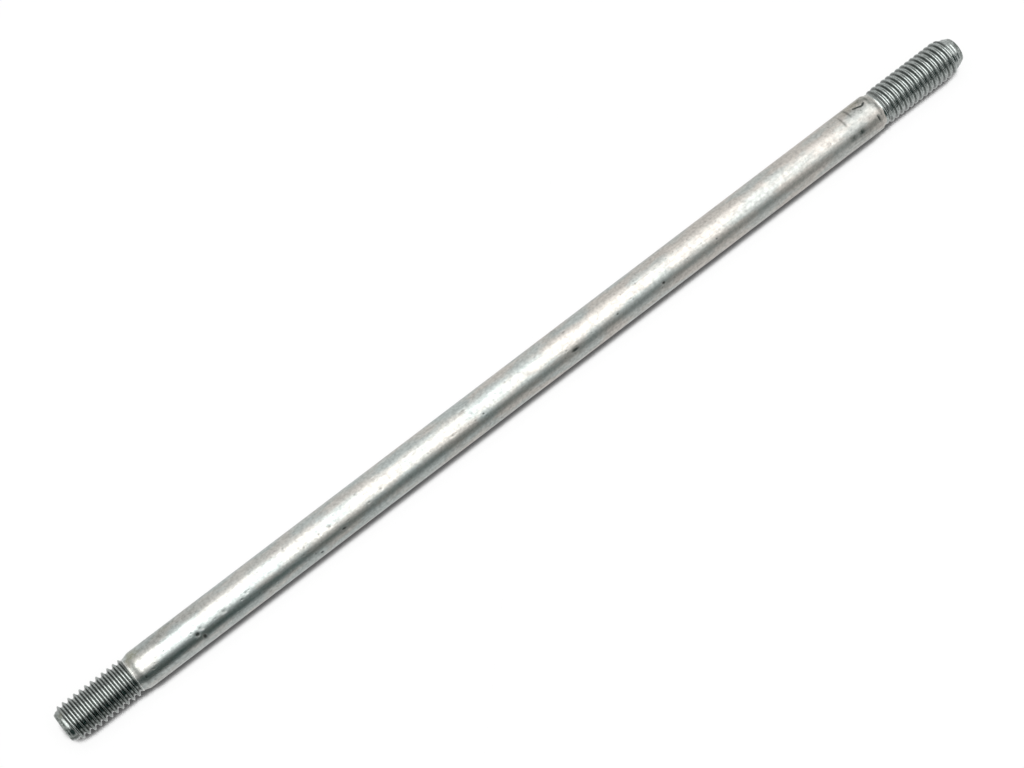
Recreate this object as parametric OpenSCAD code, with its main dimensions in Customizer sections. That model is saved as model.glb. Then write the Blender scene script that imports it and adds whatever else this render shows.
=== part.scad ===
// Stud bolt: one steel rod with a plain shank and a rolled thread at each end.
// Millimetres. The stud lies along X on the plane z = 0 with its middle at x = 0,
// the short thread towards -X and the long thread towards +X.

/* [Stud] */
// Overall length, from end face to end face
overall_len = 217; // [100:1:400]
// Diameter of the plain shank
shank_d = 7.85; // [7.8:0.05:8.6]
// Length from the short thread's end face to the full shank
short_end_len = 17.15; // [10:0.05:30]
// Length from the long thread's end face to the full shank
long_end_len = 21.85; // [10:0.05:40]

/* [Rolled threads] */
// Nominal diameter of both threads
thread_d = 8; // [7.7:0.05:8.2]
// Distance from one crest to the next
thread_pitch = 1.25; // [0.8:0.05:1.5]
// How far the crests stay below the nominal diameter
crest_allowance = 0.24; // [0:0.02:0.3]
// Length over which the short thread's last turn fades into its neck
short_runout_len = 0.4; // [0.3:0.05:2.5]
// Length over which the long thread's last turns fade into its neck
long_runout_len = 2; // [0.3:0.05:2.5]
// Turn of the short thread about the axis, in degrees
short_thread_turn = 41; // [0:1:359]
// Turn of the long thread about the axis, in degrees
long_thread_turn = 11; // [0:1:359]

/* [Necks and shoulders] */
// Diameter of the bare neck between the short thread and its shoulder
short_neck_d = 6.9; // [6.8:0.05:7.3]
// Diameter of the bare neck between the long thread and its shoulder
long_neck_d = 7.1; // [6.8:0.05:7.3]
// Length of the bare neck beside the short thread
short_neck_len = 0.15; // [0.1:0.05:2]
// Length of the bare neck beside the long thread
long_neck_len = 0.25; // [0.1:0.05:2]
// Length of the cone from neck to shank at the short thread
short_cone_len = 1.4; // [0.5:0.05:3]
// Length of the cone from neck to shank at the long thread
long_cone_len = 0.7; // [0.5:0.05:3]

/* [Points] */
// How far the rim of the short thread's end face lies below the root, on the radius
short_point_depth = 0.42; // [0.3:0.02:1]
// How far the rim of the long thread's end face lies below the root, on the radius
long_point_depth = 0.64; // [0.3:0.02:1]
// Angle between the chamfer of the short thread's point and the axis, in degrees
short_point_angle = 34; // [22:1:50]
// Angle between the chamfer of the long thread's point and the axis, in degrees
long_point_angle = 25; // [22:1:50]

/* [Hidden] */

steel = "silver";

// Metric 60 degree profile: the root lies this share of the pitch below the nominal radius
root_share = 0.61343;
// Corners along one pitch, measured from the middle of a crest: a crest flat of an
// eighth and a root flat of a quarter of the pitch, and how far out each corner stands
corner_at = [1 / 16, 3 / 8, 5 / 8, 15 / 16];
corner_out = [1, 0, 0, 1];
corners = len(corner_at);
// Facets around a thread
facets = 32;

shank_r = shank_d / 2;
short_neck_r = short_neck_d / 2;
long_neck_r = long_neck_d / 2;
crest_r = (thread_d - crest_allowance) / 2;
root_r = thread_d / 2 - root_share * thread_pitch;
short_face_r = root_r - short_point_depth;
long_face_r = root_r - long_point_depth;

// A thread's two ends lie this far inside the turned point and the neck that carry them
step_in = 0.04;
spigot_len = 0.2;
// The turned point ends just below the roots, where the thread takes over
point_r = root_r - step_in;

short_thread_end = short_end_len - short_cone_len - short_neck_len;
long_thread_end = long_end_len - long_cone_len - long_neck_len;

// Length of a turned point
function point_len(face_r, angle) = (point_r - face_r) / tan(angle);

// Radius of the chamfer that trims the first turns, at a distance from the end face
function chamfer_r(at, face_r, angle) = face_r + at * tan(angle) - step_in;

// Share of the full profile that is left at a distance before the neck
function fade(before, runout_len) = min(1, max(0, before / runout_len));

// Distance from the end face of one corner line of the thread, at one facet
function corner_z(row, k) =
    thread_pitch * (floor(row / corners) - 1 + corner_at[row % corners] + k / facets);

// Radius of that corner line, with the share of the full profile that is left there
function corner_r(row, share, neck_r) =
    let (full = root_r + (crest_r - root_r) * corner_out[row % corners])
    let (bare = neck_r - step_in)
    bare + (full - bare) * share;

function on_circle(r, k, z) = [r * cos(360 * k / facets), r * sin(360 * k / facets), z];

// Right-hand thread from inside the point to inside the neck, along Z. Its corner lines
// are helices. Where one runs past an end, the facets close onto a flat ring, and the
// ring beside the neck carries on as a plain stub into it.
module rolled_thread(thread_end, runout_len, neck_r, face_r, angle) {
    bottom = point_len(face_r, angle) - spigot_len;
    top = thread_end - step_in;
    clear = thread_pitch / 50;
    rows = corners * (ceil(top / thread_pitch) + 2);
    ring = 3 * facets;

    function inside(row, k) =
        corner_z(row, k) > bottom + clear && corner_z(row, k) < top - clear;
    // The last facet's far edge is the first one's near edge, one turn further on
    function vertex(row, k) =
        k < facets ? ring + k * rows + row : ring + row + corners;
    function low_ring(k) = k % facets;
    function high_ring(k) = facets + k % facets;
    function stub_ring(k) = 2 * facets + k % facets;

    inner_rows = [for (k = [0:facets]) [for (row = [0:rows - 1]) if (inside(row, k)) row]];
    first = [for (list = inner_rows) list[0]];
    last = [for (list = inner_rows) list[len(list) - 1]];

    points = concat(
        [for (k = [0:facets - 1]) on_circle(chamfer_r(bottom, face_r, angle), k, bottom)],
        [for (k = [0:facets - 1]) on_circle(neck_r - step_in, k, top)],
        [for (k = [0:facets - 1]) on_circle(neck_r - step_in, k, thread_end + spigot_len)],
        [for (k = [0:facets - 1]) for (row = [0:rows - 1])
            let (z = corner_z(row, k))
            let (faded = corner_r(row, fade(thread_end - z, runout_len), neck_r))
            on_circle(min(faded, chamfer_r(z, face_r, angle)), k, z)]
    );
    sides = [for (k = [0:facets - 1]) for (row = [first[k]:last[k + 1] - 1])
        each [
            [vertex(row, k), vertex(row + 1, k), vertex(row + 1, k + 1)],
            [vertex(row, k), vertex(row + 1, k + 1), vertex(row, k + 1)]
        ]];
    low_side = [for (k = [0:facets - 1]) each concat(
        [for (row = [first[k + 1]:1:first[k] - 1])
            [vertex(first[k], k), vertex(row + 1, k + 1), vertex(row, k + 1)]],
        [[vertex(first[k], k), vertex(first[k + 1], k + 1), low_ring(k + 1)],
         [vertex(first[k], k), low_ring(k + 1), low_ring(k)]]
    )];
    high_side = [for (k = [0:facets - 1]) each concat(
        [for (row = [last[k + 1]:1:last[k] - 1])
            [vertex(last[k + 1], k + 1), vertex(row, k), vertex(row + 1, k)]],
        [[vertex(last[k + 1], k + 1), vertex(last[k], k), high_ring(k)],
         [vertex(last[k + 1], k + 1), high_ring(k), high_ring(k + 1)]]
    )];
    stub = [for (k = [0:facets - 1])
        [high_ring(k), stub_ring(k), stub_ring(k + 1), high_ring(k + 1)]];
    caps = [
        [for (k = [0:facets - 1]) low_ring(k)],
        [for (k = [facets - 1:-1:0]) stub_ring(k)]
    ];
    polyhedron(points, concat(sides, low_side, high_side, stub, caps));
}

// One threaded end along Z, its end face at z = 0
module threaded_end(thread_end, runout_len, neck_r, face_r, angle, turn) {
    cylinder(h = point_len(face_r, angle), r1 = face_r, r2 = point_r);
    rotate([0, 0, turn]) rolled_thread(thread_end, runout_len, neck_r, face_r, angle);
}

module short_threaded_end() {
    threaded_end(short_thread_end, short_runout_len, short_neck_r, short_face_r,
        short_point_angle, short_thread_turn);
}

module long_threaded_end() {
    threaded_end(long_thread_end, long_runout_len, long_neck_r, long_face_r,
        long_point_angle, long_thread_turn);
}

// Plain shank with a cone and a neck at each end, along Z
module turned_shank() {
    long_side = overall_len - long_end_len;
    rotate_extrude()
        polygon([
            [0, short_thread_end],
            [short_neck_r, short_thread_end],
            [short_neck_r, short_thread_end + short_neck_len],
            [shank_r, short_end_len],
            [shank_r, long_side],
            [long_neck_r, long_side + long_cone_len],
            [long_neck_r, overall_len - long_thread_end],
            [0, overall_len - long_thread_end]
        ]);
}

module stud() {
    color(steel)
        translate([-overall_len / 2, 0, shank_r])
            rotate([0, 90, 0]) {
                turned_shank();
                short_threaded_end();
                translate([0, 0, overall_len])
                    rotate([180, 0, 0])
                        long_threaded_end();
            }
}

stud();
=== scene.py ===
"""Looks of a zinc plated stud bolt lying on a white table.

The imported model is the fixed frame. Its one node is replaced by a finely cut stud with
rounded rolled threads, turned points and the marks of handling, in a procedural zinc
finish. Blender's units are metres. The sizes of the stud and of its marks are in
millimetres. A place on the stud is given by the distance along it from the short
thread's end face, and by the angle about its axis: 0 degrees is the +Y side and 90
degrees the top.
"""

import math

import bmesh
import bpy
import numpy as np
from mathutils import Matrix, Vector


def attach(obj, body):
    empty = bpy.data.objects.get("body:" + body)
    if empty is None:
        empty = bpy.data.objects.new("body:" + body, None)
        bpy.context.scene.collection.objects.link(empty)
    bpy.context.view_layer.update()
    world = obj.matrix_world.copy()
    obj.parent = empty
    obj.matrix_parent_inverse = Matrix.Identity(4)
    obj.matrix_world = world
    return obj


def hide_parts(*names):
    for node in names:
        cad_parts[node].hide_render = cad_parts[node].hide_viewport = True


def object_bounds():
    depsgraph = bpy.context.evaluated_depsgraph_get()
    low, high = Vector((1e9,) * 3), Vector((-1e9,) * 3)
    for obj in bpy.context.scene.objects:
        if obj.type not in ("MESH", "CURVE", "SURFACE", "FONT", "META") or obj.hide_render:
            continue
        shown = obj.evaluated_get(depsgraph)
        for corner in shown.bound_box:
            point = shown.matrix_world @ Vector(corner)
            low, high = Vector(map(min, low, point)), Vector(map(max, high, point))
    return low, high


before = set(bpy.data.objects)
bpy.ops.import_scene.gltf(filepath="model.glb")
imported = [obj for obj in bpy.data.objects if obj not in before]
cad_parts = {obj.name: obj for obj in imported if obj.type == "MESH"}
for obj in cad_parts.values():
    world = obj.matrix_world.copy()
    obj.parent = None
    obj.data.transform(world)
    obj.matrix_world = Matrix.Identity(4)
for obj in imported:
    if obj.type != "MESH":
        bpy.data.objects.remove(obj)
cad_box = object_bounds()
MM = 0.001

# ---------------------------------------------------------------- sizes of the stud
LENGTH = (cad_box[1].x - cad_box[0].x) / MM
SHANK_R = (cad_box[1].y - cad_box[0].y) / 2 / MM
AXIS_HEIGHT = (cad_box[0].z + cad_box[1].z) / 2
PITCH = 1.25
CREST_R = 3.88
ROOT_R = 3.233
# Where the flank starts and ends, as shares of the pitch from the middle of a crest
CREST_HALF = 0.1
ROOT_START = 0.36
# Widths over which corners are rounded: the thread's as shares of its depth
ROOT_ROUNDING = 0.28
CREST_ROUNDING = 0.2
TRIM_ROUNDING = 0.08
SHOULDER_ROUNDING = 0.12
POINT_ROUNDING = 0.06


class End:
    """One threaded end. Its sizes run from the end face towards the middle of the stud."""

    def __init__(
        self, length, cone_len, neck_len, neck_r, runout_len, crest_at, point,
    ):
        self.length = length
        self.neck_r = neck_r
        self.cone_len = cone_len
        self.runout_len = runout_len
        self.crest_at = crest_at
        self.point_at, self.point_r = zip(*point)
        self.face_r = self.point_r[0]
        self.cone_foot = length - cone_len
        self.thread_end = self.cone_foot - neck_len

    def chamfer_radius(self, along):
        """Radius of the point, through its corners, with each corner rounded."""
        near = [
            np.interp(along + shift, self.point_at, self.point_r)
            for shift in (-POINT_ROUNDING, 0, POINT_ROUNDING)
        ]
        return sum(near) / len(near)


# The point's corners are given as (distance from the end face, radius). Rolling left a
# shelf on the short thread's point and two blunt steps on the long thread's.
SHORT = End(
    17.15, cone_len=1.4, neck_len=0.15, neck_r=3.45, runout_len=0.4, crest_at=1.42,
    point=(
        (0, 2.813), (0.34, 3.04), (0.5, 3.06), (0.68, 3.24), (1.15, 3.28), (1.45, 3.88),
        (3, 5),
    ),
)
LONG = End(
    21.85, cone_len=0.7, neck_len=0.25, neck_r=3.55, runout_len=1.6, crest_at=1.11,
    point=(
        (0, 2.593), (1.0, 3.06), (1.13, 3.15), (1.45, 3.07), (1.6, 3.18), (1.85, 3.37),
        (2.15, 3.29), (2.4, 3.68), (3.4, 4.18),
    ),
)

# ---------------------------------------------------------------- fineness of the mesh
COLUMNS = 120
# Distance between the shank's rings where it is plain
PLAIN_STEP = 1.1
# Rows of vertices along one pitch, from the middle of a crest, as shares of the pitch
PITCH_ROWS = (0, 0.05, 0.1, 0.17, 0.25, 0.33, 0.41, 0.5, 0.59, 0.67, 0.75, 0.83, 0.9, 0.95)
# Rings of the flat end face, by how far they lie inside its rim
FACE_INSETS = (2.1, 1.5, 0.9, 0.45, 0.14)
# Rings of the rounded rim: (distance from the end face, how far inside the rim)
RIM_RINGS = ((0.008, 0.07), (0.035, 0.015))
# Rings of the point before the thread starts, by their distance from the end face
CHAMFER_RINGS = (0.09, 0.16, 0.24, 0.33)
# The thread's rows stay this far from the rings at its two ends
ROW_CLEARANCE = 0.02


def smooth_min(a, b, width):
    """The smaller of two values, with the corner between them rounded over a width."""
    near = np.maximum(width - np.abs(a - b), 0)
    return np.minimum(a, b) - near * near / (4 * width)


def smooth_max(a, b, width):
    return -smooth_min(-a, -b, width)


# ---------------------------------------------------------------- threaded ends
def profile_height(share):
    """How far out the 60 degree profile stands at a share of the pitch: 0 root, 1 crest."""
    from_crest = np.abs((share + 0.5) % 1 - 0.5)
    flank = (ROOT_START - from_crest) / (ROOT_START - CREST_HALF)
    return smooth_min(smooth_max(flank, 0, ROOT_ROUNDING), 1, CREST_ROUNDING)


def thread_radius(along, share, end):
    """Radius of the thread at a distance from the end face, trimmed and faded at its ends."""
    full = ROOT_R + (CREST_R - ROOT_R) * profile_height(share)
    left = np.clip((end.thread_end - along) / end.runout_len, 0, 1)
    faded = end.neck_r + (full - end.neck_r) * left
    return smooth_min(faded, end.chamfer_radius(along), TRIM_ROUNDING)


def end_rings(end):
    """(along, radius) of the rings before the thread: the face's, the rim's, the point's."""
    rings = [(0.0, end.face_r - inset) for inset in FACE_INSETS]
    rings += [(along, end.face_r - inset) for along, inset in RIM_RINGS]
    return rings + [(along, end.chamfer_radius(along)) for along in CHAMFER_RINGS]


def thread_grid(end):
    """Distance from the end face and radius of each grid point, by column and row, and the
    share of the pitch of each row. A row follows the helix, and some run past the ends."""
    turns = int(math.ceil(end.thread_end / PITCH)) + 3
    share = np.tile(PITCH_ROWS, turns)
    row_turn = np.repeat(np.arange(turns) - 2, len(PITCH_ROWS))
    column_turn = np.arange(COLUMNS) / COLUMNS
    along = end.crest_at + PITCH * (row_turn + share)[None, :] + PITCH * column_turn[:, None]
    return along, thread_radius(along, share[None, :], end), share


def strip_faces(start):
    """Faces between a ring of vertices and the next one."""
    return [
        (start + k, start + n, start + COLUMNS + n, start + COLUMNS + k)
        for k in range(COLUMNS)
        for n in [(k + 1) % COLUMNS]
    ]


def thread_faces(inside, grid_start, low_ring, high_ring):
    """Faces of a thread's grid, and those that close its two ragged ends to flat rings."""
    rows = inside.shape[1]
    first = [int(np.argmax(column)) for column in inside]
    last = [rows - 1 - int(np.argmax(column[::-1])) for column in inside]
    # The last column's far edge is the first column, one turn further on
    first.append(first[0] - len(PITCH_ROWS))
    last.append(last[0] - len(PITCH_ROWS))

    def vertex(k, row):
        if k == COLUMNS:
            return grid_start + row + len(PITCH_ROWS)
        return grid_start + k * rows + row

    faces = []
    for k in range(COLUMNS):
        n = (k + 1) % COLUMNS
        f0, f1, l0, l1 = first[k], first[k + 1], last[k], last[k + 1]
        for i in range(f0, l1):
            near, far = vertex(k, i), vertex(k + 1, i)
            faces.append((near, far, far + 1, near + 1))
        faces.append((low_ring + k, low_ring + n, vertex(k + 1, f1), vertex(k, f0)))
        for i in range(f1, f0):
            faces.append((vertex(k, f0), vertex(k + 1, i), vertex(k + 1, i + 1)))
        faces.append((vertex(k, l0), vertex(k + 1, l1), high_ring + n, high_ring + k))
        for i in range(l1, l0):
            faces.append((vertex(k + 1, l1), vertex(k, i + 1), vertex(k, i)))
    return faces


def threaded_end(end):
    """Points (along, turn, radius, share) and faces of one end, from its face to the neck."""
    rings = end_rings(end)
    turn = np.arange(COLUMNS) / COLUMNS
    points = [(0.0, 0.0, 0.0, 0.0)]
    for along, radius in rings + [(end.thread_end, end.neck_r)]:
        points += [(along, t, radius, 0.0) for t in turn]
    ring_starts = [1 + ring * COLUMNS for ring in range(len(rings) + 1)]
    *_, low_ring, high_ring = ring_starts

    grid_start = len(points)
    along, radius, share = thread_grid(end)
    for k in range(COLUMNS):
        points += [(a, turn[k], r, s) for a, r, s in zip(along[k], radius[k], share)]

    faces = [(0, 1 + (k + 1) % COLUMNS, 1 + k) for k in range(COLUMNS)]
    for start in ring_starts[:-2]:
        faces += strip_faces(start)
    inside = along > CHAMFER_RINGS[-1] + ROW_CLEARANCE
    inside &= along < end.thread_end - ROW_CLEARANCE
    return np.array(points), faces + thread_faces(inside, grid_start, low_ring, high_ring)


# ---------------------------------------------------------------- marks on the stud
# Pits and dents: (along, angle, length along the stud, width across it, depth)
PITS = (
    (29.4, 124, 0.85, 0.75, 0.13),
    (30.35, 141, 0.65, 1.0, 0.13),
    (62.6, 137, 0.95, 0.5, 0.09),
    (56.8, 158, 0.7, 0.45, 0.06),
    (118.1, 131, 1.7, 0.6, 0.08),
    (139.8, 132, 0.7, 0.6, 0.09),
    (128.8, 122, 0.6, 0.3, 0.04),
    (153.4, 123, 0.4, 0.3, 0.04),
    (96.5, 116, 0.5, 0.3, 0.04),
    (17.4, 131, 0.3, 0.5, 0.05),
    (194.45, 130, 0.3, 1.1, 0.05),
)
# Bright nicks with a dark side, in the same form
NICKS = (
    (30.4, 113, 1.08, 0.84, 0.075),
    (35.7, 116, 0.81, 0.56, 0.075),
    (40.9, 111, 0.81, 0.56, 0.075),
    (51.2, 76, 0.68, 0.56, 0.06),
    (58.1, 106, 0.68, 0.49, 0.075),
    (60.6, 107, 0.81, 0.49, 0.075),
    (72.4, 109, 0.81, 0.49, 0.06),
    (72.4, 73, 1.22, 0.35, 0.06),
    (89.3, 113, 0.68, 0.49, 0.06),
    (93.6, 73, 1.49, 0.56, 0.075),
    (118.3, 68, 1.22, 0.56, 0.045),
    (135.2, 83, 0.68, 0.49, 0.06),
    (183.3, 104, 0.68, 0.49, 0.06),
)
# Soft patches: (along, angle, length, width, strength). Grime and shade is dark and
# greenish: partly dirt, partly painted shade where marked below. Olive is a yellow brown
# tarnish.
GRIME_AND_SHADE = (
    # This and the next two: painted shade, a dark line along the top edge beside the short
    # thread
    (21.0, 28, 3.5, 1.6, 0.5),
    (26.5, 36, 2.6, 1.3, 0.55),
    (33.5, 30, 4.0, 1.2, 0.3),
    (17.5, 131, 0.5, 0.7, 0.8),
    (22.0, 132, 4.0, 0.9, 0.25),
    (187.9, 133, 1.3, 1.0, 1.1),
    (190.1, 133, 1.5, 1.1, 1.35),
    (195.5, 128, 0.6, 1.7, 0.55),
    (195.5, 75, 0.6, 2.0, 0.35),
    (1.25, 56, 0.3, 0.5, 0.9),
    (0.3, 66, 0.25, 0.8, 0.8),
    (0.35, 112, 0.3, 1.4, 0.9),
    (193.4, 131, 2.6, 0.7, 0.5),
    (194.5, 130, 0.45, 1.4, 1.0),
    # This and the next: painted shadow of the long thread's shoulder
    (194.85, 62, 0.55, 3.0, 1.0),
    (195.55, 96, 0.4, 1.8, 0.75),
    (193.8, 48, 1.9, 1.9, 0.75),
    (191.5, 60, 3.5, 2.6, 0.3),
    (23.0, 57, 7.0, 3.2, 0.42),
    (30.0, 57, 7.0, 2.6, 0.25),
    # Painted shade along the top edge, as in the first three
    (30.0, 32, 9.0, 1.5, 0.28),
    (16.75, 104, 0.75, 4.4, 0.75),
    (191.0, 140, 5.5, 1.3, 0.4),
    # This and the next: painted shade along the lower front of the short thread
    (7.5, 148, 12.0, 2.4, 0.5),
    (7.5, 158, 12.0, 1.6, 0.8),
    (0.95, 76, 0.7, 1.3, 0.4),
    (206.0, 92, 16.0, 7.0, 0.12),
    (0.56, 94, 0.3, 2.6, 1.0),
    (0.25, 48, 0.3, 0.6, 1.0),
    (0.9, 158, 0.25, 0.6, 1.0),
    (1.7, 158, 0.25, 0.6, 1.0),
    (216.6, 55, 0.5, 1.3, 0.8),
    (215.5, 126, 0.9, 0.8, 0.7),
    (188.0, 30, 3.2, 1.2, 0.35),
    (118.5, 130, 2.0, 0.9, 0.5),
    (117.0, 36, 1.6, 1.4, 0.4),
)
OLIVE = (
    (17.6, 48, 1.9, 2.6, 0.9),
    (25.2, 40, 2.2, 1.6, 0.45),
    (192.0, 40, 5.0, 2.2, 0.5),
    (16.4, 60, 0.9, 3.0, 0.5),
    (1.0, 66, 0.8, 1.2, 0.5),
)
# Rolling marks round the upper side of the shank beside the long thread's shoulder
RING_MARKS = ((188.0, 72, 0.55), (190.05, 56, 0.62))
RING_WIDTH = 0.42
RING_DEPTH = 0.03
# A hooked gouge: its line as (along, angle) places, and its width and depth
GOUGE = ((191.6, 59.0), (192.4, 63.6), (193.1, 68.2), (193.5, 68.0), (193.95, 63.0))
GOUGE_WIDTH = 0.42
GOUGE_DEPTH = 0.11
# A thin lip round the short thread's neck, and how far it lies from the thread's end
LIP_HEIGHT = 0.12
LIP_AT = 0.1
# A mark's angle is turned into a distance round the shank at this radius
MARK_R = 4.0
# A mark fades to a sixteenth of its depth at its length or width
MARK_FALL = 2.8


def around(angle, centre_deg):
    """Distance round the shank from an angle in degrees, in millimetres."""
    return ((angle - math.radians(centre_deg) + math.pi) % (2 * math.pi) - math.pi) * MARK_R


def bell(a, b, length, width):
    """A smooth spot: 1 in its middle, and almost nothing past its length and width."""
    return np.exp(-MARK_FALL * ((a / length) ** 2 + (b / width) ** 2))


def line_distance(along, angle, places):
    """Distance of each point from a line through (along, angle) places, in millimetres."""
    nearest = np.full_like(along, 1e3)
    for (a0, g0), (a1, g1) in zip(places, places[1:]):
        run, rise = a1 - a0, math.radians(g1 - g0) * MARK_R
        da, dg = along - a0, around(angle, g0)
        reach = np.clip((da * run + dg * rise) / (run * run + rise * rise), 0, 1)
        nearest = np.minimum(nearest, np.hypot(da - reach * run, dg - reach * rise))
    return nearest


def stain(along, angle, patches):
    """Strength at each point of a list of soft patches, where the strongest one counts."""
    total = np.zeros_like(along)
    for at, centre, length, width, strength in patches:
        shape = bell(along - at, around(angle, centre), length, width)
        total = np.maximum(total, strength * shape)
    return total


def marks(along, angle):
    """Depth of the marks at each point, and how pitted and how rubbed bright it is."""
    depth = np.zeros_like(along)
    pit = np.zeros_like(along)
    rub = np.zeros_like(along)
    for at, centre, length, width, deep in PITS:
        offset = around(angle, centre)
        shape = bell(along - at, offset, length, width)
        lip = bell(along - at + length * 0.6, offset - width * 0.8, length, width * 0.6)
        depth += deep * shape
        pit = np.maximum(pit, shape)
        rub = np.maximum(rub, 0.55 * lip)
    for at, centre, length, width, deep in NICKS:
        offset = around(angle, centre)
        shape = bell(along - at, offset, length, width)
        lip = bell(along - at - length * 0.35, offset - width * 0.7, length * 0.8, width * 0.5)
        depth += deep * shape
        rub = np.maximum(rub, 0.8 * lip)
        pit = np.maximum(pit, 0.55 * shape * (1 - lip))
    for at, centre, dark in RING_MARKS:
        upper = np.clip(1.5 - np.abs(around(angle, centre)) / 1.9, 0, 1)
        line = np.exp(-(((along - at) / RING_WIDTH) ** 2)) * upper
        depth += RING_DEPTH * line
        pit = np.maximum(pit, dark * line)
    line = np.exp(-MARK_FALL * (line_distance(along, angle, GOUGE) / GOUGE_WIDTH) ** 2)
    depth += GOUGE_DEPTH * line
    pit = np.maximum(pit, np.minimum(1.25 * line, 1))
    return depth, pit, rub


def waves(along, angle):
    """Slow unevenness of drawn steel, at most a few hundredths of a millimetre."""
    source = np.random.default_rng(8)
    total = np.zeros_like(along)
    for _ in range(10):
        length = source.uniform(5, 30)
        lobes = source.integers(1, 5)
        shift = source.uniform(0, 2 * math.pi, 2)
        wave = np.sin(2 * math.pi * along / length + shift[0])
        total += wave * np.cos(lobes * angle + shift[1]) / lobes
    return 0.004 * total


def short_lip(along, half_width):
    """1 on the thin lip round the short thread's neck, fading to 0 on both sides."""
    return np.exp(-(((along - SHORT.thread_end - LIP_AT) / half_width) ** 2))


# ---------------------------------------------------------------- the whole stud
def spaced(places, gap):
    """Sorted places, without those that lie nearer than a gap to the one before."""
    kept = [places[0]]
    for place in places[1:]:
        if place - kept[-1] > gap:
            kept.append(place)
    return kept


def ring_places(start, stop):
    """Where the shank's rings lie: wide apart on plain stretches and close at marks."""
    gap = 0.07
    places = list(np.linspace(start, stop, int((stop - start) / PLAIN_STEP) + 1))
    for at, _, length, _, _ in PITS + NICKS:
        places += list(at + length * np.linspace(-1.1, 1.3, 9))
    for at, _, _ in RING_MARKS:
        places += list(at + RING_WIDTH * np.linspace(-2, 2, 9))
    places += list(np.linspace(GOUGE[0][0] - 0.3, GOUGE[-1][0] + 0.3, 24))
    places = sorted(p for p in places if start < p and stop - p > gap)
    return spaced([start] + places, gap) + [stop]


def shank_radius(along):
    """Radius from neck to neck, with rounded shoulders and the lip at the short neck."""
    long_foot = LENGTH - LONG.cone_foot
    short_rise = (along - SHORT.cone_foot) / SHORT.cone_len * (SHANK_R - SHORT.neck_r)
    long_rise = (long_foot - along) / LONG.cone_len * (SHANK_R - LONG.neck_r)
    near = smooth_max(SHORT.neck_r + short_rise, SHORT.neck_r, SHOULDER_ROUNDING)
    near = near + LIP_HEIGHT * short_lip(along, 0.07)
    far = smooth_max(LONG.neck_r + long_rise, LONG.neck_r, SHOULDER_ROUNDING)
    return smooth_min(np.minimum(near, far), SHANK_R, SHOULDER_ROUNDING)


def shank_rings():
    """(along, radius) of each ring from the short thread's neck to the long thread's."""
    long_top, long_foot = LENGTH - LONG.length, LENGTH - LONG.cone_foot
    start, stop = SHORT.thread_end, LENGTH - LONG.thread_end
    corner_reach = 0.3
    near_corner = (-corner_reach, -0.2, -0.13, -0.07, 0, 0.07, 0.13, 0.2, corner_reach)

    places = [start, stop] + list(start + np.array([0.04, 0.08, 0.12, 0.16, 0.2]))
    for corner in (SHORT.cone_foot, SHORT.length, long_top, long_foot):
        places += [corner + d for d in near_corner]
    places += list(np.linspace(SHORT.cone_foot, SHORT.length, 7))
    places += list(np.linspace(long_top, long_foot, 5))
    places += ring_places(SHORT.length + corner_reach, long_top - corner_reach)
    places = sorted(p for p in set(np.round(places, 4)) if start <= p <= stop)
    kept = spaced(places, 0.03)
    kept[-1] = stop
    radii = shank_radius(np.array(kept))
    # The outer two rings are those of the threads' ends
    radii[0], radii[-1] = SHORT.neck_r, LONG.neck_r
    return list(zip(kept, radii))


def stud_points():
    """Every point of the stud as (along, angle, radius, share), and its faces."""
    points, faces = threaded_end(SHORT)
    points[:, 1] *= 2 * math.pi
    # The long thread is the same end turned about, so it runs and turns the other way
    far, far_faces = threaded_end(LONG)
    far[:, 0] = LENGTH - far[:, 0]
    far[:, 1] *= -2 * math.pi
    faces += [tuple(i + len(points) for i in f) for f in far_faces]
    points = np.vstack([points, far])

    rings = shank_rings()
    start = len(points)
    turn = 2 * math.pi * np.arange(COLUMNS) / COLUMNS
    body = [(along, angle, radius, 0.0) for along, radius in rings for angle in turn]
    for ring in range(len(rings) - 1):
        faces += strip_faces(start + ring * COLUMNS)
    return np.vstack([points, body]), faces


def painted_thread_shade(along, angle, radius, share, in_thread):
    """How dark painted shade makes each point of the threads: most on flanks, less on their
    lower front and where a thread fades out, and least on the long thread's tip side.
    Along the front, the short thread's roots carry a painted shadow."""
    from_end = np.minimum(along, LENGTH - along)
    on_long = along > LENGTH / 2
    height = np.clip((radius - ROOT_R) / (CREST_R - ROOT_R), 0, 1)
    unshaded_point = 0.5
    shaded_flanks = in_thread & (from_end > unshaded_point)
    flank = np.where(shaded_flanks, (4 * height * (1 - height)) ** 1.3, 0)

    runout_len = np.where(on_long, LONG.runout_len, SHORT.runout_len)
    thread_end = np.where(on_long, LONG.thread_end, SHORT.thread_end)
    flank = flank * np.clip(1.8 * (thread_end - from_end) / runout_len, 0, 1)
    tip_side = on_long & (share > 0.5)
    flank = np.where(tip_side, 0.1 * flank, np.where(on_long, 0.75, 1.0) * flank)
    lower_front = np.exp(-((around(angle, 135) / 2.2) ** 4))
    flank = flank * (1 - 0.5 * lower_front)

    in_root = in_thread & (height < 0.3)
    # Painted shadow: a dark line along the front of the short thread's roots
    front_line = 0.75 * np.exp(-((around(angle, 163) / 0.7) ** 2))
    front_roots = np.where(on_long, 0, front_line)
    return np.where(in_root, np.maximum(flank, front_roots), flank)


def set_attribute(mesh, name, values):
    layer = mesh.attributes.new(name, "FLOAT", "POINT")
    layer.data.foreach_set("value", values.astype(np.float32))


def weld(mesh):
    """Joins the rings that two sections share, and drops the rows that lie past the ends."""
    work = bmesh.new()
    work.from_mesh(mesh)
    loose = [v for v in work.verts if not v.link_faces]
    bmesh.ops.delete(work, geom=loose, context="VERTS")
    bmesh.ops.remove_doubles(work, verts=work.verts, dist=0.002 * MM)
    work.to_mesh(mesh)
    work.free()
    mesh.update()


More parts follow.
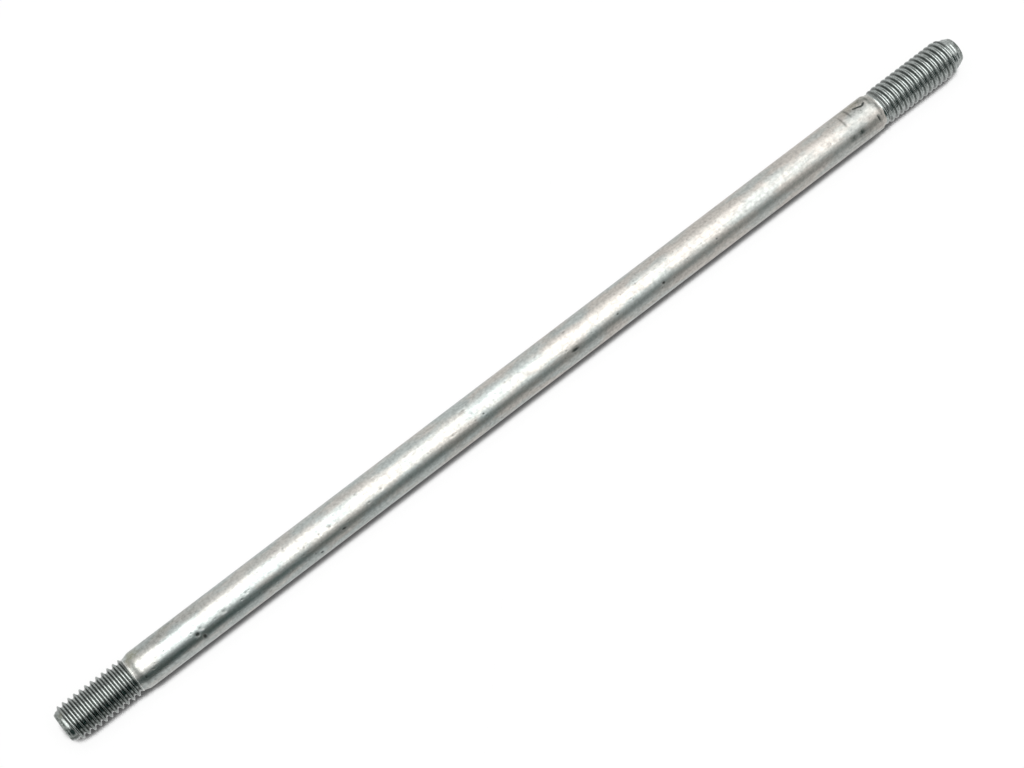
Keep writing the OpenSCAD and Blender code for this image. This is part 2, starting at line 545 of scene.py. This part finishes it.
def make_stud():
    points, faces = stud_points()
    along, angle, radius, share = points.T
    depth, pit, rub = marks(along, angle)
    # The marks and waves fade out down the two cones
    on_shank = (along > SHORT.cone_foot) & (along < LENGTH - LONG.cone_foot)
    up_cone = np.clip((radius - LONG.neck_r) / (SHANK_R - LONG.neck_r), 0, 1)
    used = np.where(on_shank, up_cone, 0)
    real = radius - used * (depth - waves(along, angle))
    real = np.where(on_shank, np.minimum(real, SHANK_R), real)
    in_thread = (along < SHORT.thread_end) | (along > LENGTH - LONG.thread_end)
    from_end = np.minimum(along, LENGTH - along)

    coordinates = np.column_stack([
        cad_box[0].x + along * MM,
        real * np.cos(angle) * MM,
        AXIS_HEIGHT + real * np.sin(angle) * MM,
    ])
    mesh = bpy.data.meshes.new("plated_stud")
    mesh.from_pydata(coordinates.tolist(), [], faces)
    set_attribute(mesh, "pit", pit * used)
    set_attribute(mesh, "rub", np.maximum(rub * used, 0.85 * short_lip(along, 0.09)))
    # The flank attribute holds painted shade in the thread grooves
    set_attribute(mesh, "flank", painted_thread_shade(along, angle, radius, share, in_thread))
    set_attribute(mesh, "thread", np.where(in_thread, 1.0, 0.0))
    set_attribute(mesh, "point", np.clip(1.5 - from_end / 0.8, 0, 1))
    set_attribute(mesh, "grime", stain(along, angle, GRIME_AND_SHADE))
    set_attribute(mesh, "olive", stain(along, angle, OLIVE))
    stud = bpy.data.objects.new("plated_stud", mesh)
    bpy.context.scene.collection.objects.link(stud)
    weld(mesh)
    mesh.polygons.foreach_set("use_smooth", [True] * len(mesh.polygons))
    return stud


# ---------------------------------------------------------------- material
COOL_ZINC = (0.395, 0.425, 0.413, 1)
WARM_ZINC = (0.465, 0.442, 0.41, 1)
# The threads' zinc is darker than the shank's: painted shade of the turns on one another
SHORT_THREAD_ZINC = (0.295, 0.318, 0.305, 1)
LONG_THREAD_ZINC = (0.345, 0.37, 0.358, 1)
OLIVE_TARNISH = (0.22, 0.21, 0.125, 1)
# Green black, for dirt and for painted shade
GREEN_BLACK_DIRT_AND_SHADE = (0.08, 0.095, 0.085, 1)
PIT_BLACK = (0.06, 0.065, 0.06, 1)
RUBBED_BRIGHT = (0.72, 0.72, 0.70, 1)


class Nodes:
    """A short way to write a node tree: each call adds a node and links its inputs."""

    def __init__(self, tree):
        self.tree = tree
        tree.nodes.clear()

    def add(self, kind, inputs=None, out=0, **settings):
        """Adds a node and gives back one of its outputs, if it has any."""
        node = self.tree.nodes.new(kind)
        for name, value in settings.items():
            setattr(node, name, value)
        for name, value in (inputs or {}).items():
            socket = node.inputs[name]
            if isinstance(value, bpy.types.NodeSocket):
                self.tree.links.new(value, socket)
            else:
                socket.default_value = value
        return node.outputs[out] if node.outputs else None

    def math(self, operation, a, b=0.0):
        return self.add("ShaderNodeMath", {0: a, 1: b}, operation=operation)

    def plus(self, a, b):
        return self.math("ADD", a, b)

    def times(self, a, b):
        return self.math("MULTIPLY", a, b)

    def fit(self, value, low, high, to_low=0.0, to_high=1.0, curve="SMOOTHSTEP"):
        """Maps low and high to new values, and what lies between smoothly between them."""
        limits = {
            "Value": value, "From Min": low, "From Max": high,
            "To Min": to_low, "To Max": to_high,
        }
        return self.add("ShaderNodeMapRange", limits, interpolation_type=curve)

    def blend(self, factor, a, b):
        inputs = {"Factor": factor, 6: a, 7: b}
        return self.add("ShaderNodeMix", inputs, 2, data_type="RGBA", blend_type="MIX")

    def attribute(self, name):
        return self.add("ShaderNodeAttribute", out="Fac", attribute_name=name)

    def noise(self, place, scale, detail=3.0, roughness=0.55):
        values = {"Vector": place, "Scale": scale, "Detail": detail, "Roughness": roughness}
        return self.add("ShaderNodeTexNoise", values, "Fac")

    def output(self, kind, surface):
        self.add(kind, {"Surface": surface})


class ZincPatterns:
    """What the parts of the zinc material share: place, noises and the mesh's attributes."""

    def __init__(self, n):
        place = n.add("ShaderNodeTexCoord", out="Object")

        def scaled(along_bar):
            scale = (along_bar, 1000, 1000)
            return n.add("ShaderNodeMapping", {"Vector": place, "Scale": scale})

        self.in_mm = scaled(1000)
        self.along = n.add("ShaderNodeSeparateXYZ", {"Vector": self.in_mm}, "X")
        self.cloud = n.noise(scaled(300), 0.32, 4.0)
        self.mottle = n.noise(self.in_mm, 1.6, 5.0, 0.65)
        self.streak = n.noise(scaled(60), 3.2, 4.0, 0.6)
        self.grain = n.noise(self.in_mm, 9.0, 2.0)
        self.speckle = n.noise(self.in_mm, 4.5, 3.0, 0.7)
        for name in ("pit", "rub", "flank", "thread", "point", "grime", "olive"):
            setattr(self, name, n.attribute(name))
        self.dimple = self.make_dimples(n)

    def make_dimples(self, n):
        """Small round dents in clusters, on the shank alone."""
        spots = n.add("ShaderNodeTexVoronoi", {"Vector": self.in_mm, "Scale": 0.9}, "Distance")
        cluster = n.fit(n.noise(self.in_mm, 0.5, 1.0), 0.5, 0.6)
        dimple = n.times(n.fit(spots, 0.08, 0.26, 1.0, 0.0), cluster)
        return n.times(dimple, n.math("SUBTRACT", 1.0, self.thread))


def zinc_shade(n, p):
    """How much the patterns, and the painted shade in the thread grooves, brighten or darken
    the zinc.
    """
    shade = n.fit(p.mottle, 0.28, 0.68, 0.78, 1.09)
    worn = n.fit(p.speckle, 0.32, 0.62, 0.7, 1.18)
    shade = n.blend(p.thread, shade, n.times(shade, worn))
    shade = n.times(shade, n.fit(p.streak, 0.3, 0.7, 0.93, 1.05))
    middle = n.times(n.fit(p.along, -60.0, -30.0), n.fit(p.along, 60.0, 85.0, 1.0, 0.0))
    shade = n.times(shade, n.fit(middle, 0.0, 1.0, 1.0, 1.04))
    # Painted shade in the thread grooves
    shade = n.times(shade, n.fit(p.flank, 0.0, 0.75, 1.0, 0.34))
    return n.times(shade, n.fit(p.dimple, 0.0, 1.0, 1.0, 0.8))


def zinc_colour(n, p):
    """Zinc that drifts from cool to warm along the bar, under tarnish, dirt, painted shade and
    marks.
    """
    drift = n.fit(p.along, -100.0, 100.0, -0.45, 0.45, "LINEAR")
    drawn = n.blend(n.plus(n.fit(p.cloud, 0.38, 0.62), drift), COOL_ZINC, WARM_ZINC)
    # Darker zinc on the threads: painted shade of the turns on one another
    rolled = n.blend(n.fit(p.along, -50.0, 50.0), SHORT_THREAD_ZINC, LONG_THREAD_ZINC)
    colour = n.blend(p.thread, drawn, rolled)
    shaded = {0: colour, "Scale": zinc_shade(n, p)}
    colour = n.add("ShaderNodeVectorMath", shaded, operation="SCALE")

    tarnish = n.times(p.olive, n.fit(p.mottle, 0.3, 0.65, 1.0, 0.4))
    point_dirt = n.times(p.point, n.fit(p.mottle, 0.4, 0.56, 0.85, 0.0))
    # Grime and shade: dirt, and painted shade where the patch list marks it
    grime = n.times(p.grime, n.fit(p.mottle, 0.3, 0.62, 1.0, 0.6))
    colour = n.blend(tarnish, colour, OLIVE_TARNISH)
    colour = n.blend(n.math("MAXIMUM", point_dirt, grime), colour, GREEN_BLACK_DIRT_AND_SHADE)
    colour = n.blend(n.fit(p.pit, 0.2, 0.85), colour, PIT_BLACK)
    return n.blend(n.fit(p.rub, 0.3, 0.9), colour, RUBBED_BRIGHT)


def zinc_roughness(n, p):
    """Satin on the shank, smoother towards the short thread, and smoothest in threads."""
    shank = n.fit(p.along, -88.0, -40.0, 0.36, 0.45)
    shank = n.plus(shank, n.fit(p.mottle, 0.3, 0.7, 0.04, -0.04))
    shank = n.plus(shank, n.fit(p.streak, 0.3, 0.7, 0.04, -0.03))
    roughness = n.blend(p.thread, shank, n.fit(p.point, 0.0, 1.0, 0.27, 0.34))
    return n.plus(roughness, n.times(p.pit, 0.15))


def zinc_bump(n, p):
    """Drawing streaks, mottle, grain and dimples, weaker on the threads."""
    height = n.plus(n.times(p.streak, 0.6), n.times(p.mottle, 0.8))
    height = n.plus(height, n.times(p.grain, 0.12))
    height = n.math("SUBTRACT", height, n.times(p.dimple, 2.2))
    strength = n.fit(p.thread, 0.0, 1.0, 0.4, 0.16)
    depth = 0.03 * MM
    return n.add("ShaderNodeBump", {"Strength": strength, "Distance": depth, "Height": height})


def zinc_material():
    """Bright zinc over drawn and rolled steel: satin, mottled, streaked along the bar."""
    material = bpy.data.materials.new("zinc_steel")
    material.use_nodes = True
    n = Nodes(material.node_tree)
    patterns = ZincPatterns(n)
    shader = n.add("ShaderNodeBsdfPrincipled", {
        "Base Color": zinc_colour(n, patterns),
        "Metallic": 1.0,
        "Roughness": zinc_roughness(n, patterns),
        "Normal": zinc_bump(n, patterns),
    })
    n.output("ShaderNodeOutputMaterial", shader)
    return material


# ---------------------------------------------------------------- table and light
WHITE = (1, 1, 1, 1)
TABLE_HALF = 4.0
CONTACT_REACH = 3 * MM


def seen_rays(n):
    """1 for rays that show the background: from the camera, in gloss and through glass."""
    path = n.tree.nodes.new("ShaderNodeLightPath")
    seen = n.math("MAXIMUM", path.outputs["Is Camera Ray"], path.outputs["Is Glossy Ray"])
    return n.math("MAXIMUM", seen, path.outputs["Is Transmission Ray"])


def add_mesh(name, corners, faces, material):
    """A mesh object in the scene, with one material."""
    mesh = bpy.data.meshes.new(name)
    mesh.from_pydata(corners, [], faces)
    mesh.materials.append(material)
    made = bpy.data.objects.new(name, mesh)
    bpy.context.scene.collection.objects.link(made)
    return made


def table_material():
    """White to the camera but for a painted contact shadow, and plain grey to other light."""
    material = bpy.data.materials.new("table_white")
    material.use_nodes = True
    n = Nodes(material.node_tree)
    plain = n.add("ShaderNodeBsdfDiffuse", {"Color": (0.8, 0.8, 0.8, 1)})
    faint = n.add("ShaderNodeBsdfDiffuse", {"Color": (0.1, 0.1, 0.1, 1)})
    # The contact shadow is painted: ambient occlusion near the stud dims the table's glow
    open_sky = n.add(
        "ShaderNodeAmbientOcclusion", {"Distance": CONTACT_REACH}, "AO", samples=16)
    level = n.fit(open_sky, 0.53, 0.7, 0.06, 0.9)
    # Gloss sees the table glowing white right up to the stud, as if lit from the side, without
    # the painted contact shadow
    gloss = n.add("ShaderNodeLightPath", out="Is Glossy Ray")
    level = n.math("MAXIMUM", level, n.times(gloss, 0.95))
    glow = n.add("ShaderNodeEmission", {"Color": WHITE, "Strength": level})
    white = n.add("ShaderNodeAddShader", {0: faint, 1: glow})
    shader = n.add("ShaderNodeMixShader", {0: seen_rays(n), 1: plain, 2: white})
    n.output("ShaderNodeOutputMaterial", shader)
    return material


def make_table():
    """A white table with a painted contact shadow of the stud."""
    half = TABLE_HALF
    corners = [(-half, -half, 0), (half, -half, 0), (half, half, 0), (-half, half, 0)]
    add_mesh("table", corners, [(0, 1, 2, 3)], table_material())


def make_world():
    """White where it is seen, and dimmer as a light."""
    world = bpy.data.worlds.new("studio")
    bpy.context.scene.world = world
    world.use_nodes = True
    n = Nodes(world.node_tree)
    dim = n.add("ShaderNodeBackground", {"Color": WHITE, "Strength": 0.25})
    white = n.add("ShaderNodeBackground", {"Color": WHITE, "Strength": 1.0})
    shader = n.add("ShaderNodeMixShader", {0: seen_rays(n), 1: dim, 2: white})
    n.output("ShaderNodeOutputWorld", shader)


def black_card():
    material = bpy.data.materials.new("black_card")
    material.use_nodes = True
    n = Nodes(material.node_tree)
    cloth = n.add("ShaderNodeBsdfDiffuse", {"Color": (0.005, 0.05, 0.045, 1)})
    n.output("ShaderNodeOutputMaterial", cloth)
    return material


def make_flag():
    """A black card beside the stud, which the dark band along it mirrors, with its foot
    lying on the table. The foot comes nearer to the stud beside the short thread."""
    left, right, y, top = -0.7, 0.36, -0.55, 0.655
    lift = 0.5 * MM
    near_y, far_y = -0.035, -0.09
    near_until, far_from = -0.06, 0.02
    corners = [
        (left, y, lift), (right, y, lift), (right, y, top), (left, y, top),
        (right, far_y, lift), (far_from, far_y, lift),
        (near_until, near_y, lift), (left, near_y, lift),
    ]
    faces = [(0, 1, 2, 3), (7, 6, 5, 4, 1, 0)]
    flag = add_mesh("flag", corners, faces, black_card())
    for ray in ("camera", "diffuse", "shadow", "transmission"):
        setattr(flag, "visible_" + ray, False)


def make_softbox():
    """A large soft light over the stud, in three panels that step towards the front."""
    radiance = 2.8
    height = 0.8
    for name, left, right, front, back in (
        ("softbox_short_end", -0.5, -0.02, -0.34, 0.54),
        ("softbox_middle", -0.02, 0.2, -0.53, 0.67),
        ("softbox_long_end", 0.2, 0.39, -0.78, 0.44),
    ):
        lamp = bpy.data.lights.new(name, "AREA")
        lamp.shape = "RECTANGLE"
        lamp.size, lamp.size_y = right - left, back - front
        lamp.energy = radiance * math.pi * lamp.size * lamp.size_y
        box = bpy.data.objects.new(name, lamp)
        bpy.context.scene.collection.objects.link(box)
        box.location = ((left + right) / 2, (front + back) / 2, height)


# ---------------------------------------------------------------- camera
def make_camera():
    """Above the stud, nearer its short thread, with a long lens."""
    sensor_mm, focal_px, image_px = 36.0, 2600.0, 1024.0
    distance = 0.4935
    back = Vector((-0.1935, -0.241, 0.951)).normalized()
    right = Vector((0.78068, -0.62493, 0.00048))
    up = back.cross(right).normalized()
    right = up.cross(back)
    target = Vector((-3.5 * MM, 0.329 * MM, 4.083 * MM))
    data = bpy.data.cameras.new("camera")
    data.sensor_width = sensor_mm
    data.lens = sensor_mm * focal_px / image_px
    data.clip_start, data.clip_end = 0.01, 20
    camera = bpy.data.objects.new("camera", data)
    bpy.context.scene.collection.objects.link(camera)
    turn = Matrix((right, up, back)).transposed().to_4x4()
    camera.matrix_world = Matrix.Translation(target + back * distance) @ turn
    bpy.context.scene.camera = camera


stud = make_stud()
stud.data.materials.append(zinc_material())
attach(stud, "root")
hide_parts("stud")

make_table()
make_world()
make_flag()
make_softbox()
make_camera()
bpy.context.scene.view_settings.view_transform = "Standard"
